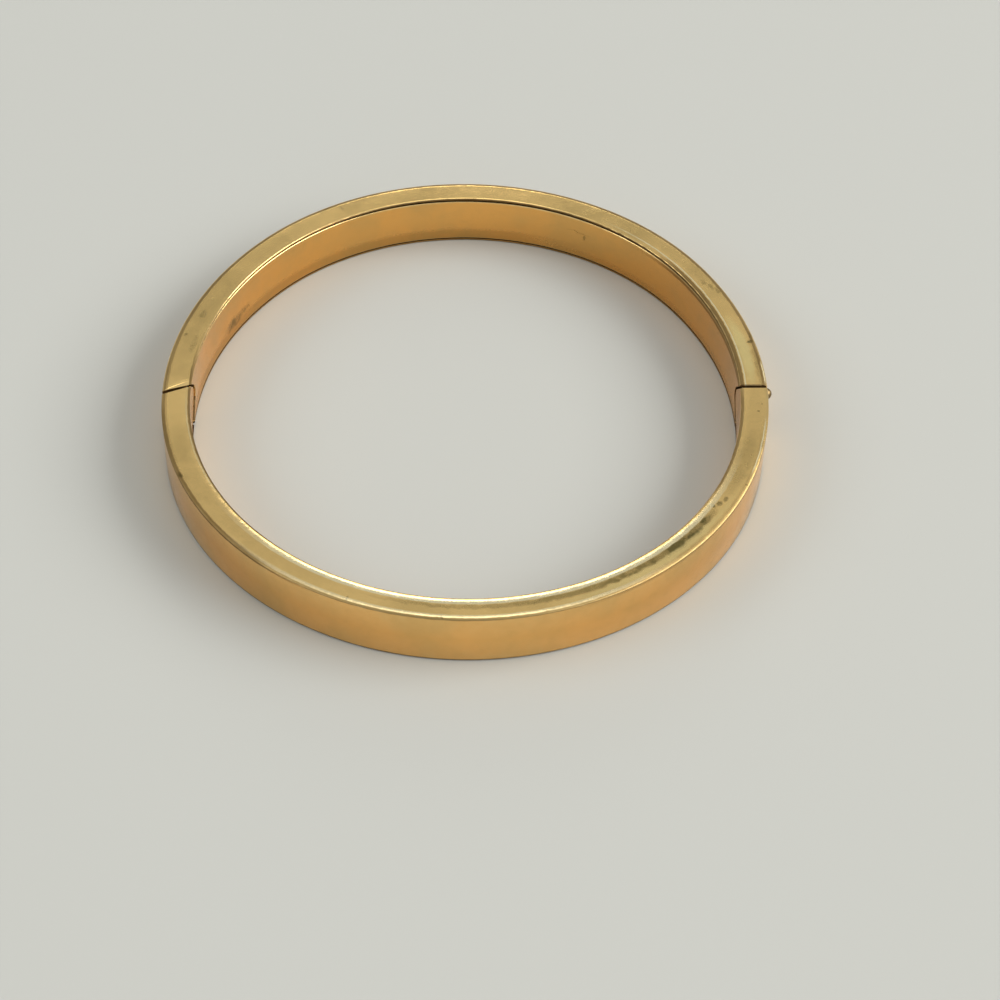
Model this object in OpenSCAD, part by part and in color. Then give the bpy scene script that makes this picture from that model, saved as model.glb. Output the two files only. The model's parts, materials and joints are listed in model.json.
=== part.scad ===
// Hinged bangle: two hollow half hoops of plain rectangular band, joined by a three-knuckle hinge at
// the left and by a tongue with a sprung thumb piece at the right. It lies on its side, +Z up.

/* [Band] */
// Outside width of the hoop, from the hinge side to the clasp side
hoop_w = 63; // [63:0.25:66]
// Outer radius of the two flatter sides, where the joins are
side_r = 36; // [35.5:0.25:38]
// Outer radius of the back
back_r = 30.375; // [29.5:0.125:31]
// Outer radius of the front
front_r = 31.3875; // [30.5:0.0125:31.4]
// Turn of the worn, out-of-round outline against the line through the two joins
outline_turn = -6.1; // [-8:0.1:0]
// Width of the band, which is its height as the hoop lies
band_h = 6.1; // [5.6:0.1:8]
// Thickness of the band from outside to inside
band_t = 2.9; // [2.7:0.1:3.3]
// Radius of the four long edges
edge_r = 0.35; // [0.2:0.05:0.5]
// Thickness of the sheet that the hollow band is folded from
wall = 0.45; // [0.35:0.05:0.5]

/* [Hinge] */
// Distance of the join's middle in front of the middle of the hoop, at the hinge
join_y = 0.3; // [0:0.1:1]
// Slant of the join on the hinge side
hinge_slant = 22.5; // [10:0.5:30]
// Gap between the two halves at the hinge
hinge_gap = 0.18; // [0.14:0.01:0.25]
// Radius of the hinge's knuckles
knuckle_r = 0.7; // [0.65:0.05:0.8]
// How far the knuckles' circle reaches past the band's outer face, where it is cut flush
knuckle_cut = 0.03; // [0.02:0.01:0.06]
// Radius of the hinge's pin
pin_r = 0.35; // [0.3:0.01:0.38]
// Clearance of the pin in its bore
pin_play = 0.03; // [0.02:0.01:0.05]
// Clearance between the knuckles and what they turn in
knuckle_play = 0.08; // [0.06:0.01:0.1]
// How far the front half swings open
open_angle = 50; // [30:1:60]

/* [Inner tabs] */
// Reach of the rounded tabs in the inner wall, past the join
tab_reach = 2.2; // [2:0.05:2.3]
// Radius of a tab's nose
tab_nose_r = 1.35; // [1.2:0.05:1.4]
// Gap round a tab
tab_gap = 0.1; // [0.06:0.01:0.15]

/* [Clasp] */
// Distance of the join's middle in front of the middle of the hoop, at the clasp
clasp_join = 0.25; // [0:0.05:1]
// Gap between the two halves at the clasp
clasp_gap = 0.14; // [0.1:0.01:0.2]
// Reach of the folded tongue into the back half
tongue_reach = 7.6; // [6.6:0.1:9]
// Width of the tongue
tongue_w = 3.6; // [3:0.1:3.8]
// Thickness of the strip that the tongue is folded from
strip_t = 0.4; // [0.3:0.05:0.45]
// Outer radius of the fold at the tongue's tip
fold_r = 0.8; // [0.75:0.05:0.85]
// Distance of the thumb piece behind the join
knob_back = 2.05; // [1.8:0.05:3]
// Radius of the thumb piece's round head
knob_r = 0.65; // [0.5:0.05:0.7]
// How far the thumb piece stands out of the band
knob_out = 0.95; // [0.7:0.05:1.2]

/* [Hidden] */
gold = [0.80, 0.64, 0.33];
worn_gold = [0.72, 0.57, 0.30];
brass = [0.70, 0.58, 0.32];

// Number of sides that a preview draws circles with
hoop_fn = 180;
round_fn = 72;
small_fn = 48;

// Lengths that only have to be long enough to cut right through
far = 60;
cut = 2;

// Clearances inside the clasp, at the mouth, at the knob's slot, at the strip's hole and at the fold
mouth_play = 0.3;
slot_play = 0.1;
strip_play = 0.05;
fold_play = 0.06;

// How far the strip's two ends stop from the join: the tongue's tail inside the front half, and the
// sprung leaf behind the back half's end plate
tongue_tail = 2.4;
leaf_clear = 0.25;

// Step of the strip inside the fold's end, and how far it runs into it, so that the two join cleanly
strip_step = 0.02;
strip_lap = 0.1;

// The outline is four arcs that meet smoothly: each two neighbours' centres lie in one line with
// the point where they meet. The sides are centred across the hoop, the back and front behind and
// before its middle
side_shift = side_r - hoop_w / 2;
back_shift = sqrt(pow(side_r - back_r, 2) - pow(side_shift, 2));
front_shift = sqrt(pow(side_r - front_r, 2) - pow(side_shift, 2));
left = [side_shift, 0];
right = [-side_shift, 0];
back = [0, back_shift];
front = [0, -front_shift];

function turned(p, a) = [p[0] * cos(a) - p[1] * sin(a), p[0] * sin(a) + p[1] * cos(a)];
function toward(a) = [cos(a), sin(a)];

// The hinge's axis, from the outline's own middle. The knuckles' circle just passes the outer face
// and touches the slanted end of the front half
axis_in = knuckle_r - knuckle_cut;
left_centre = turned(left, outline_turn);
right_centre = turned(right, outline_turn);
outer_left = left_centre[0] - side_r;
outer_join_y = -join_y - (band_t / 2) * tan(hinge_slant);
front_end_y = outer_join_y - hinge_gap / 2 / cos(hinge_slant);
axis_y = front_end_y - axis_in * (1 - sin(hinge_slant)) / cos(hinge_slant);
axis_bearing = 180 + asin((left_centre[1] - axis_y) / (side_r - axis_in));
axis_from_middle = left_centre + (side_r - axis_in) * toward(axis_bearing);

// The clasp. The tongue's strip bends round the hinge's axis, so it slides out as the hoop opens
outer_right = right_centre[0] + sqrt(pow(side_r, 2) - pow(-clasp_join - right_centre[1], 2));
tongue_mid = outer_right - band_t / 2 - axis_from_middle[0];
knob_tip = tongue_mid + band_t / 2 + knob_out;

// The origin is the middle of the box round the part, from the hinge side to the knob's tip and
// from the front to the back
side_reach = side_r - side_shift * cos(outline_turn);
back_reach = back_r + back_shift * cos(outline_turn);
front_reach = front_r + front_shift * cos(outline_turn);
middle_x = (side_reach - axis_from_middle[0] - knob_tip) / 2;
middle_y = (front_reach - back_reach) / 2;
middle = [middle_x, middle_y];
hinge_axis = middle + axis_from_middle;
hinge_join = middle + [outer_left + band_t / 2, -join_y];
clasp_join_y = middle[1] - clasp_join;
knob_y = clasp_join_y + knob_back;
fold_y = clasp_join_y + tongue_reach - fold_r;
fold_bearing = asin((fold_y - hinge_axis[1]) / tongue_mid);
fold_centre = hinge_axis + tongue_mid * toward(fold_bearing);

// Heights of the three knuckles
mid_z = band_h / 2;
knuckle_z = band_h / 3;

// The middle knuckle's arm reaches this share of the knuckle's radius towards the inside
arm_share = 0.88;

// The tabs' flanks run just inside the nose's circle, and their roots lie this far before the join
flank_share = 0.985;
tab_root = 1.2;

// A point far out on the line from one arc's centre through its neighbour's
function beyond(a, b) = b + far * (b - a) / norm(b - a);

// One arc of the hoop: a whole ring, cut to the sector between its two meeting lines
module arc_of_hoop(centre, r, sector) {
    intersection() {
        translate([centre[0], centre[1], 0])
            rotate_extrude($fn = hoop_fn)
                translate([r, 0])
                    children();
        full_height()
            polygon(sector);
    }
}

// The given cross-section, all the way round the outline
module hoop() {
    right_back = beyond(right, back);
    left_back = beyond(left, back);
    right_front = beyond(right, front);
    left_front = beyond(left, front);
    translate([middle[0], middle[1], 0])
        rotate([0, 0, outline_turn]) {
            arc_of_hoop(right, side_r, [front, right_front, right_back, back]) children();
            arc_of_hoop(back, back_r, [back, right_back, [0, 2 * far], left_back]) children();
            arc_of_hoop(left, side_r, [back, left_back, left_front, front]) children();
            arc_of_hoop(front, front_r, [front, left_front, [0, -2 * far], right_front]) children();
        }
}

// Cross-sections, drawn with the outer face at x = 0 and the inner face at x = -band_t
module band_section() {
    translate([-band_t + edge_r, 0])
        square([band_t - 2 * edge_r, band_h]);
    translate([-band_t, edge_r])
        square([band_t, band_h - 2 * edge_r]);
    for (x = [-band_t + edge_r, -edge_r], z = [edge_r, band_h - edge_r])
        translate([x, z])
            circle(r = edge_r, $fn = small_fn);
}

module hollow_section() {
    translate([-band_t + wall, wall])
        square([band_t - 2 * wall, band_h - 2 * wall]);
}

module inner_wall_section() {
    intersection() {
        band_section();
        translate([-band_t, 0])
            square([wall, band_h]);
    }
}

module inner_wall_waste_section() {
    translate([-band_t - cut, -cut])
        square([cut + wall + tab_gap, band_h + 2 * cut]);
}

// Plan of everything on one side of the two joins, kept "away" from them. side is 1 behind the
// joins and -1 before them
module beside_joins(side, away) {
    along = toward(hinge_slant);
    step = side * (hinge_gap / 2 + away);
    hinge_line = hinge_join + step * [-along[1], along[0]];
    outer_end = hinge_line - 2 * band_t * along;
    inner_end = hinge_line + 1.5 * band_t * along;
    clasp_line = clasp_join_y + side * (clasp_gap / 2 + away);
    polygon([
        outer_end,
        inner_end,
        [0, clasp_line],
        [far, clasp_line],
        [far, side * far],
        [-far, side * far],
        [-far, outer_end[1]]
    ]);
}

module full_height() {
    translate([0, 0, -cut])
        linear_extrude(band_h + 2 * cut)
            children();
}

// Hollow band on one side of the joins, closed by a plate at each end
module hollow_half(side) {
    difference() {
        intersection() {
            hoop() band_section();
            full_height() beside_joins(side, 0);
        }
        intersection() {
            hoop() hollow_section();
            full_height() beside_joins(side, wall);
        }
    }
}

// Side view of one inner tab, drawn with x along its reach: flanks at 45 degrees and a round nose
module tab_shape(grow) {
    nose = tab_nose_r + grow;
    nose_x = tab_reach - tab_nose_r;
    touch = flank_share * nose * cos(45);
    root_z = 2 * touch + nose_x + tab_root;
    polygon([[nose_x + touch, touch], [-tab_root, root_z], [-tab_root, -root_z], [nose_x + touch, -touch]]);
    translate([nose_x, 0])
        circle(r = nose, $fn = round_fn);
}

module tab_blocks(grow) {
    inner_x = hinge_join[0] + band_t / 2;
    inner_y = hinge_join[1] + band_t / 2 * tan(hinge_slant);
    for (place = [[inner_x, inner_y], [-inner_x, clasp_join_y]])
        translate([place[0], place[1], mid_z])
            rotate([90, 0, 90])
                linear_extrude(2 * cut, center = true)
                    tab_shape(grow);
}

module inner_tabs() {
    intersection() {
        hoop() inner_wall_section();
        tab_blocks(0);
    }
}

module inner_notches() {
    intersection() {
        hoop() inner_wall_waste_section();
        tab_blocks(tab_gap);
    }
}

module at_hinge() {
    translate([hinge_axis[0], hinge_axis[1], 0])
        children();
}

module back_half() {
    color(gold) difference() {
        union() {
            hollow_half(1);
            middle_knuckle();
        }
        inner_notches();
        pin_bore();
        clasp_mouth();
        knob_slot();
    }
}

module middle_knuckle() {
    low = knuckle_z + knuckle_play / 2;
    tall = knuckle_z - knuckle_play;
    arm_w = cut + knuckle_r * arm_share;
    arm_reach = knuckle_r + hinge_gap + wall * 2;
    intersection() {
        at_hinge()
            translate([0, 0, low]) {
                cylinder(r = knuckle_r, h = tall, $fn = round_fn);
                translate([-cut, 0, 0])
                    cube([arm_w, arm_reach, tall]);
            }
        hoop() band_section();
    }
}

// The bore reaches just past the pin at both ends, and is closed above and below
module pin_bore() {
    at_hinge()
        translate([0, 0, wall - strip_play])
            cylinder(r = pin_r + pin_play, h = band_h - 2 * wall + 2 * strip_play, $fn = small_fn);
}

module clasp_mouth() {
    low_x = hinge_axis[0] + tongue_mid - band_t / 2 + wall;
    translate([low_x, clasp_join_y - cut, mid_z - tongue_w / 2 - mouth_play])
        cube([band_t - 2 * wall, 2 * cut, tongue_w + 2 * mouth_play]);
}

module knob_slot() {
    inside = hinge_axis[0] + tongue_mid;
    slot_r = knob_r + slot_play;
    translate([inside, clasp_join_y - cut, mid_z - slot_r])
        cube([cut * 2, cut + knob_back, 2 * slot_r]);
    translate([inside, knob_y, mid_z])
        rotate([0, 90, 0])
            cylinder(r = slot_r, h = cut * 2, $fn = small_fn);
}

module front_half() {
    color(gold) difference() {
        union() {
            difference() {
                hollow_half(-1);
                nose_waste();
            }
            outer_knuckles();
            inner_tabs();
        }
        pin_bore();
        knuckle_recess();
        strip_hole();
    }
}

// What is cut off the front half's outer corner, to leave it round about the hinge's axis
module nose_waste() {
    reach = 2 * band_t;
    full_height()
        translate(hinge_axis)
            difference() {
                polygon([
                    [0, 0],
                    reach * toward(axis_bearing),
                    reach * [-1, 1],
                    reach * toward(90 + hinge_slant)
                ]);
                circle(r = knuckle_r, $fn = round_fn);
            }
}

module outer_knuckles() {
    intersection() {
        at_hinge()
            translate([0, 0, wall / 2])
                cylinder(r = knuckle_r, h = band_h - wall, $fn = round_fn);
        hoop() band_section();
    }
}

// Room in the front half for the back half's knuckle and its arm, over the whole swing
module knuckle_recess() {
    room = knuckle_r + knuckle_play;
    lip = knuckle_r * tan(open_angle / 2) + knuckle_play;
    floor_y = -knuckle_play;
    at_hinge()
        translate([0, 0, knuckle_z - knuckle_play / 2])
            linear_extrude(knuckle_z + knuckle_play) {
                circle(r = room, $fn = round_fn);
                polygon([[-cut, -lip], [0, -lip], [0, floor_y], [room, floor_y], [room, cut], [-cut, cut]]);
            }
}

module strip_hole() {
    low_x = tongue_mid - fold_r - strip_play;
    low_y = clasp_join_y - hinge_axis[1] - cut;
    low_z = mid_z - tongue_w / 2 - strip_play;
    at_hinge()
        translate([low_x, low_y, low_z])
            cube([strip_t + 2 * strip_play, cut * 2, tongue_w + 2 * strip_play]);
}

module hinge_pin() {
    color(brass) at_hinge()
        translate([0, 0, wall])
            cylinder(r = pin_r, h = band_h - 2 * wall, $fn = small_fn);
}

// Strip bent round the hinge's axis, between two angles, with its inner face at radius r
module bent_strip(r, from_a, to_a, thick, wide) {
    at_hinge()
        rotate([0, 0, from_a])
            rotate_extrude(angle = to_a - from_a, $fn = 2 * hoop_fn)
                translate([r, mid_z - wide / 2])
                    square([thick, wide]);
}

function angle_at(r, y) = asin((y - hinge_axis[1]) / r);

module clasp_tongue() {
    r = tongue_mid - fold_r;
    lap_a = strip_lap / tongue_mid * 180 / PI;
    from_a = angle_at(r, clasp_join_y - tongue_tail);
    color(brass) {
        bent_strip(r + strip_step, from_a, fold_bearing + lap_a,
                   strip_t - 2 * strip_step, tongue_w - 2 * strip_step);
        translate([fold_centre[0], fold_centre[1], mid_z - tongue_w / 2])
            rotate([0, 0, fold_bearing])
                rotate_extrude(angle = 180, $fn = round_fn)
                    translate([fold_r - strip_t, 0])
                        square([strip_t, tongue_w]);
    }
}

module thumb_piece() {
    r = tongue_mid + fold_r - strip_t;
    knob_x = hinge_axis[0] + tongue_mid;
    knob_centre_x = knob_x + band_t / 2 + knob_out - knob_r;
    neck_x = knob_x + fold_r - strip_t / 2;
    color(worn_gold) {
        bent_strip(r, angle_at(r, clasp_join_y + wall + leaf_clear), angle_at(r, fold_y - fold_play),
                   strip_t, tongue_w);
        translate([neck_x, knob_y, mid_z])
            rotate([0, 90, 0])
                cylinder(r = knob_r * 0.7, h = knob_centre_x - neck_x, $fn = small_fn);
        translate([knob_centre_x, knob_y, mid_z])
            sphere(r = knob_r, $fn = small_fn);
    }
}

back_half();
front_half();
hinge_pin();
clasp_tongue();
thumb_piece();
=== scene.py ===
# %% [markdown]
# # A worn hinged bangle
# The bangle is two half hoops of thin gold-filled sheet. Each half is a folded channel with a flat
# strip soldered over its open, inner side. A three-knuckle hinge joins them at the left, and a folded
# tongue with a small thumb piece closes them at the right. It lies on its side on pale paper.
#
# The packed part gives the box, the two joints' axes and the bodies. This script makes the surfaces
# that are seen: the rounded and chamfered sheet, the soldered seam, and the worn gold.

# %% Load the packed part and keep its box
import json
import math

import bmesh
import bpy
from mathutils import Matrix, Vector


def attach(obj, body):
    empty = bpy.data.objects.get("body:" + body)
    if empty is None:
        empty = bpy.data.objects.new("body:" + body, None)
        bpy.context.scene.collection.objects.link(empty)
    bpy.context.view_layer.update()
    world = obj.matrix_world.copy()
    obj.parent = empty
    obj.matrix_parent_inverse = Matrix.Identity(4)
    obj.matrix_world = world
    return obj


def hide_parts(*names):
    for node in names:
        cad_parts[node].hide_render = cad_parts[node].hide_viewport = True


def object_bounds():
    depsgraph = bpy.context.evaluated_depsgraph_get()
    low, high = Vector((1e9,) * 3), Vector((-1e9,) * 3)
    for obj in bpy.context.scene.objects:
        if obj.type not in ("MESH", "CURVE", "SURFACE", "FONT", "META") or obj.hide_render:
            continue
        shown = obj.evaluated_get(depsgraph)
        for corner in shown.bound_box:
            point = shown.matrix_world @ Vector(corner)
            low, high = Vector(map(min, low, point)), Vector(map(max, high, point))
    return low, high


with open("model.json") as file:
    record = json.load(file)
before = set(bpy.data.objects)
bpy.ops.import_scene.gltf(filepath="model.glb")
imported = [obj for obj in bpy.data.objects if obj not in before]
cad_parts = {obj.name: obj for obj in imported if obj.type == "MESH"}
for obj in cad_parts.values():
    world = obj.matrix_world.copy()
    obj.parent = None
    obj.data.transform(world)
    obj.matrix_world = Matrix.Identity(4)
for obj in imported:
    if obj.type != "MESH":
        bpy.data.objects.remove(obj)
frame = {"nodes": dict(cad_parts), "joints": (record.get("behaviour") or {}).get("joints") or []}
cad_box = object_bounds()
MM = 0.001
joints = {joint["name"]: joint for joint in frame["joints"]}
hinge_axis = Vector(joints["hinge_swing"]["pos_m"]).to_2d() / MM
fold_centre = Vector(joints["thumb_press"]["pos_m"]).to_2d() / MM


def new_object(name, data):
    """An object with this data, linked to the scene."""
    made = bpy.data.objects.new(name, data)
    bpy.context.scene.collection.objects.link(made)
    return made


def axes_at(x, y, z, origin):
    """The matrix of a place with these three axes."""
    return Matrix((*zip(x, y, z, origin), (0, 0, 0, 1)))


def box_outline(low_x, low_y, high_x, high_y):
    """The plan of a square block."""
    return [(low_x, low_y), (high_x, low_y), (high_x, high_y), (low_x, high_y)]


print("box of the part in mm:", [[round(x / MM, 2) for x in corner] for corner in cad_box])

# %% [markdown]
# ## The sizes of the hoop
# The sizes of the metal are in millimetres. The four arcs of the outline fit the packed part, and
# the middle of the hoop follows from two sides of the part's box.

# %% Sizes of the hoop and its middle
BAND_H = 6.1
BAND_T = 2.9
HOOP_W = 63.0
SIDE_R = 36.0
BACK_R = 30.375
FRONT_R = 31.3875
TURN = math.radians(-6.1)
SIDE_SHIFT = SIDE_R - HOOP_W / 2
BACK_SHIFT = math.sqrt((SIDE_R - BACK_R) ** 2 - SIDE_SHIFT ** 2)
FRONT_SHIFT = math.sqrt((SIDE_R - FRONT_R) ** 2 - SIDE_SHIFT ** 2)
low_corner, high_corner = (corner / MM for corner in cad_box)
middle = Vector((
    low_corner.x + SIDE_R - SIDE_SHIFT * math.cos(TURN),
    high_corner.y - BACK_R - BACK_SHIFT * math.cos(TURN),
))
print("middle of the hoop:", middle)

# %% [markdown]
# ## The camera
# The photograph looks down on the bangle at about 46 degrees, from a little to the left of its
# middle. The lens is long, so the far and the near rim look almost alike. The camera is placed by
# its bearing, its height, its roll and its distance from the middle of the hoop.

# %% Place the camera
view_bearing = math.radians(-3.07)
view_height = math.radians(45.9)
view_roll = math.radians(1.95)
view_distance = 254.4
aim_right = 3.65
aim_up = -7.71

back = Vector((
    math.sin(view_bearing) * math.cos(view_height),
    -math.cos(view_bearing) * math.cos(view_height),
    math.sin(view_height),
))
right = Vector((math.cos(view_bearing), math.sin(view_bearing), 0))
up = back.cross(right)
rolled_right = right * math.cos(view_roll) + up * math.sin(view_roll)
rolled_up = up * math.cos(view_roll) - right * math.sin(view_roll)
eye = middle.to_3d() + back * view_distance + rolled_right * aim_right + rolled_up * aim_up

lens = bpy.data.cameras.new("camera")
lens.sensor_width = 36
lens.lens = 86.4
lens.clip_start = 0.01
camera = new_object("camera", lens)
camera.matrix_world = axes_at(rolled_right, rolled_up, back, [x * MM for x in eye])
bpy.context.scene.camera = camera
print("camera in mm:", [round(x, 2) for x in eye])

# %% [markdown]
# ## The outline
# The hoop is a little out of round: four arcs that meet smoothly, flatter at the two sides. On such
# a convex outline the bearing that the wall faces names each place, and the same bearing names the
# place below it at any depth in the band. So one function gives every point of every wall.

# %% The four arcs of the outline
back_corner = math.atan2(BACK_SHIFT, SIDE_SHIFT)
front_corner = math.atan2(FRONT_SHIFT, SIDE_SHIFT)


def arc_facing(bearing):
    """The centre and the radius of the arc that faces this bearing."""
    own = (bearing - TURN + front_corner) % math.tau - front_corner
    centre, radius = (0, -FRONT_SHIFT), FRONT_R
    if own < back_corner:
        centre, radius = (-SIDE_SHIFT, 0), SIDE_R
    elif own < math.pi - back_corner:
        centre, radius = (0, BACK_SHIFT), BACK_R
    elif own < math.pi + front_corner:
        centre, radius = (SIDE_SHIFT, 0), SIDE_R
    return middle + Matrix.Rotation(TURN, 2) @ Vector(centre), radius


def on_hoop(bearing, depth=0.0):
    """The point of the hoop that faces this bearing, this deep below the outer wall."""
    centre, radius = arc_facing(bearing)
    return centre + (radius - depth) * Vector((math.cos(bearing), math.sin(bearing)))


print("outer wall at the right and back:", on_hoop(0), on_hoop(math.pi / 2))

# %% [markdown]
# ## The two joins
# The clasp's join runs straight across the band. The hinge's join slants, and the front half's outer
# corner is round about the pin. In the inner wall a rounded tab of the front half reaches into a
# notch of the back half at both joins.

# %% Places and shapes of the joins
WALL = 0.45
JOIN_Y = 0.3
HINGE_SLANT = math.radians(22.5)
HINGE_GAP = 0.42
CLASP_JOIN = 0.25
CLASP_GAP = 0.30
TAB_REACH = 2.2
TAB_NOSE_R = 1.35
TAB_GAP = 0.2
KNUCKLE_R = 0.7
KNUCKLE_PLAY = 0.08
PIN_R = 0.35
PIN_PLAY = 0.03

side_arcs = {"hinge": arc_facing(math.pi), "clasp": arc_facing(0)}
outer_left = side_arcs["hinge"][0].x - SIDE_R
hinge_join = Vector((outer_left + BAND_T / 2, middle.y - JOIN_Y))
clasp_join = Vector((on_hoop(0).x - BAND_T / 2, middle.y - CLASP_JOIN))


def join_y(side, half, depth):
    """Where a half ends at a join, this deep in the band. half is 1 for the back, -1 for the front."""
    if side == "clasp":
        return clasp_join.y + half * CLASP_GAP / 2
    slanted = hinge_join.y + (depth - BAND_T / 2) * math.tan(HINGE_SLANT)
    return slanted + half * HINGE_GAP / 2 / math.cos(HINGE_SLANT)


def tab_beyond(z, grow):
    """How far a tab's outline reaches past the join at this height."""
    away = abs(z - BAND_H / 2)
    nose = TAB_NOSE_R + grow
    nose_x = TAB_REACH - TAB_NOSE_R
    touch = nose * math.cos(math.pi / 4)
    if away < touch:
        return nose_x + math.sqrt(nose ** 2 - away ** 2)
    return nose_x + 2 * touch - away


def strip_end(side, half, depth, z):
    """The bearing at which a half's inner strip ends at this height."""
    middle_y = (join_y(side, 1, BAND_T) + join_y(side, -1, BAND_T)) / 2
    tab_y = middle_y + tab_beyond(z, TAB_GAP if half == 1 else 0)
    y = max(join_y(side, half, depth), tab_y)
    centre, radius = side_arcs[side]
    rise = math.asin((y - centre.y) / (radius - depth))
    return math.pi - rise if side == "hinge" else rise


print("hinge join", hinge_join, "clasp join", clasp_join)

# %% [markdown]
# ## The floor
# The photograph shows matt, warm grey paper. One large square is enough. Its colour is a little
# darker than white paper, so that the light can be strong enough for the metal.

# %% Lay the floor


def new_material(name):
    """An empty node material and its shader."""
    material = bpy.data.materials.new(name)
    material.use_nodes = True
    material.node_tree.nodes.clear()
    nodes = material.node_tree.nodes
    shader = nodes.new("ShaderNodeBsdfPrincipled")
    out = nodes.new("ShaderNodeOutputMaterial")
    material.node_tree.links.new(shader.outputs["BSDF"], out.inputs["Surface"])
    return material, shader


paper, paper_shader = new_material("pale_paper")
paper_shader.inputs["Base Color"].default_value = (0.50, 0.50, 0.465, 1)
paper_shader.inputs["Roughness"].default_value = 0.9
paper_shader.inputs["Specular IOR Level"].default_value = 0.2

floor_half = 0.9
floor_corners = [(x, y, 0) for x, y in box_outline(-floor_half, -floor_half, floor_half, floor_half)]
floor_mesh = bpy.data.meshes.new("floor")
floor_mesh.from_pydata(floor_corners, [], [(0, 1, 2, 3)])
floor_mesh.materials.append(paper)
floor = new_object("floor", floor_mesh)
print("floor", floor_half * 2, "m wide")

# %% [markdown]
# ## Nodes
# The sky, the metals and the band are all made by node trees. One small class adds their nodes, so
# that each node is one line with its settings and its inputs by name.

# %% Node helpers


class Wiring:
    """Short ways to add nodes to one tree. An input is a socket or a value."""

    def __init__(self, tree):
        self.tree = tree

    def put(self, socket, value):
        """Give an input its socket or its value."""
        if isinstance(value, bpy.types.NodeSocket):
            self.tree.links.new(value, socket)
        else:
            socket.default_value = value

    def node(self, kind, inputs=None, **settings):
        """A node with these settings. Its inputs go by name or by number."""
        made = self.tree.nodes.new(kind)
        for name, value in settings.items():
            setattr(made, name, value)
        for name, value in (inputs or {}).items():
            self.put(made.inputs[name], value)
        return made

    def math(self, operation, first, second=0.0, clamp=False):
        made = self.node("ShaderNodeMath", {0: first, 1: second}, operation=operation, use_clamp=clamp)
        return made.outputs[0]

    def vector(self, operation, first, second=(0, 0, 0), output="Vector"):
        made = self.node("ShaderNodeVectorMath", {0: first, 1: second}, operation=operation)
        return made.outputs[output]

    def noise(self, vector, scale, detail=3.0, rough=0.55, output="Fac"):
        inputs = {"Vector": vector, "Scale": scale, "Detail": detail, "Roughness": rough}
        return self.node("ShaderNodeTexNoise", inputs).outputs[output]

    def ramp(self, value, low, high, from_value=0.0, to_value=1.0):
        """A smooth change from one value to another between low and high."""
        inputs = dict(enumerate((value, low, high, from_value, to_value)))
        return self.node("ShaderNodeMapRange", inputs, interpolation_type="SMOOTHSTEP").outputs[0]

    def blend(self, factor, first, second):
        """A mix of two colours."""
        inputs = {"Factor": factor, "A": first, "B": second}
        return self.node("ShaderNodeMix", inputs, data_type="RGBA").outputs["Result"]

    def attribute(self, name, output):
        """What each point or face carries under this name."""
        return self.node("ShaderNodeAttribute", attribute_name=name).outputs[output]


print("helpers:", [name for name in vars(Wiring) if not name.startswith("_")])

# %% [markdown]
# ## The sky
# Polished metal shows what stands round it, so the sky does most of the work. It is a soft grey with
# patches: a pale one overhead and one before the bangle, small bright ones overhead and behind, which
# give the glints along the edges, and a dark one before it, which deepens the walls. Below the
# horizon it has the floor's tone. A patch is set by its direction, so no image is needed.

# %% Patches of the sky
world = bpy.data.worlds.new("sky")
bpy.context.scene.world = world
world.use_nodes = True
sky = world.node_tree.nodes["Background"]
sky_wiring = Wiring(world.node_tree)
look = sky_wiring.node("ShaderNodeTexCoord").outputs["Generated"]


def sky_patch(toward, inner, outer):
    """1 within the inner angle of a direction, 0 beyond the outer one. Angles in degrees."""
    near = sky_wiring.vector("DOT_PRODUCT", look, Vector(toward).normalized(), "Value")
    return sky_wiring.ramp(near, math.cos(math.radians(outer)), math.cos(math.radians(inner)))


# Each patch: its direction, its inner and outer angle in degrees, and its colour.
PATCHES = [
    ((0, 0.1, 1), 20, 70, (0.68, 0.71, 0.73)),
    ((0, -1, 0.40), 15, 60, (0.85, 0.87, 0.88)),
    ((0, 0.20, 0.98), 6, 15, (2.3, 2.3, 2.2)),
    ((0.03, 1.0, 0.36), 6, 12, (4.4, 4.4, 4.1)),
    ((-0.05, -0.72, 0.69), 12, 24, (0.10, 0.09, 0.08)),
    ((0, 0, -1), 89, 91, (0.70, 0.70, 0.66)),
]
shade = (0.50, 0.52, 0.53, 1)
for toward, inner, outer, patch_colour in PATCHES:
    shade = sky_wiring.blend(sky_patch(toward, inner, outer), shade, (*patch_colour, 1))
sky_wiring.put(sky.inputs["Color"], shade)
sky.inputs["Strength"].default_value = 0.84
print(len(PATCHES), "patches in the sky")

# %% [markdown]
# ## The two soft lights
# The shadows in the photograph fall mostly to the left, so the stronger light stands at the right.
# A weaker one at the left opens the shadow inside the back. Both are large, so their edges are soft.

# %% Hang the lights


def area_light(name, place, width, height, power):
    """A soft rectangular light, in metres and watts, that faces the bangle."""
    data = bpy.data.lights.new(name, "AREA")
    data.shape = "RECTANGLE"
    data.size = width
    data.size_y = height
    data.energy = power
    data.color = (1.0, 0.98, 0.95)
    light = new_object(name, data)
    light.location = place
    light.rotation_euler = (-Vector(place)).to_track_quat("-Z", "Y").to_euler()
    print(name, "at", place)


area_light("window", (1.9, -0.15, 1.30), 2.2, 1.3, 56.0)
area_light("lamp", (-1.9, -0.10, 1.30), 1.6, 1.0, 14.0)
bpy.context.scene.view_settings.view_transform = "Standard"
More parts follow.
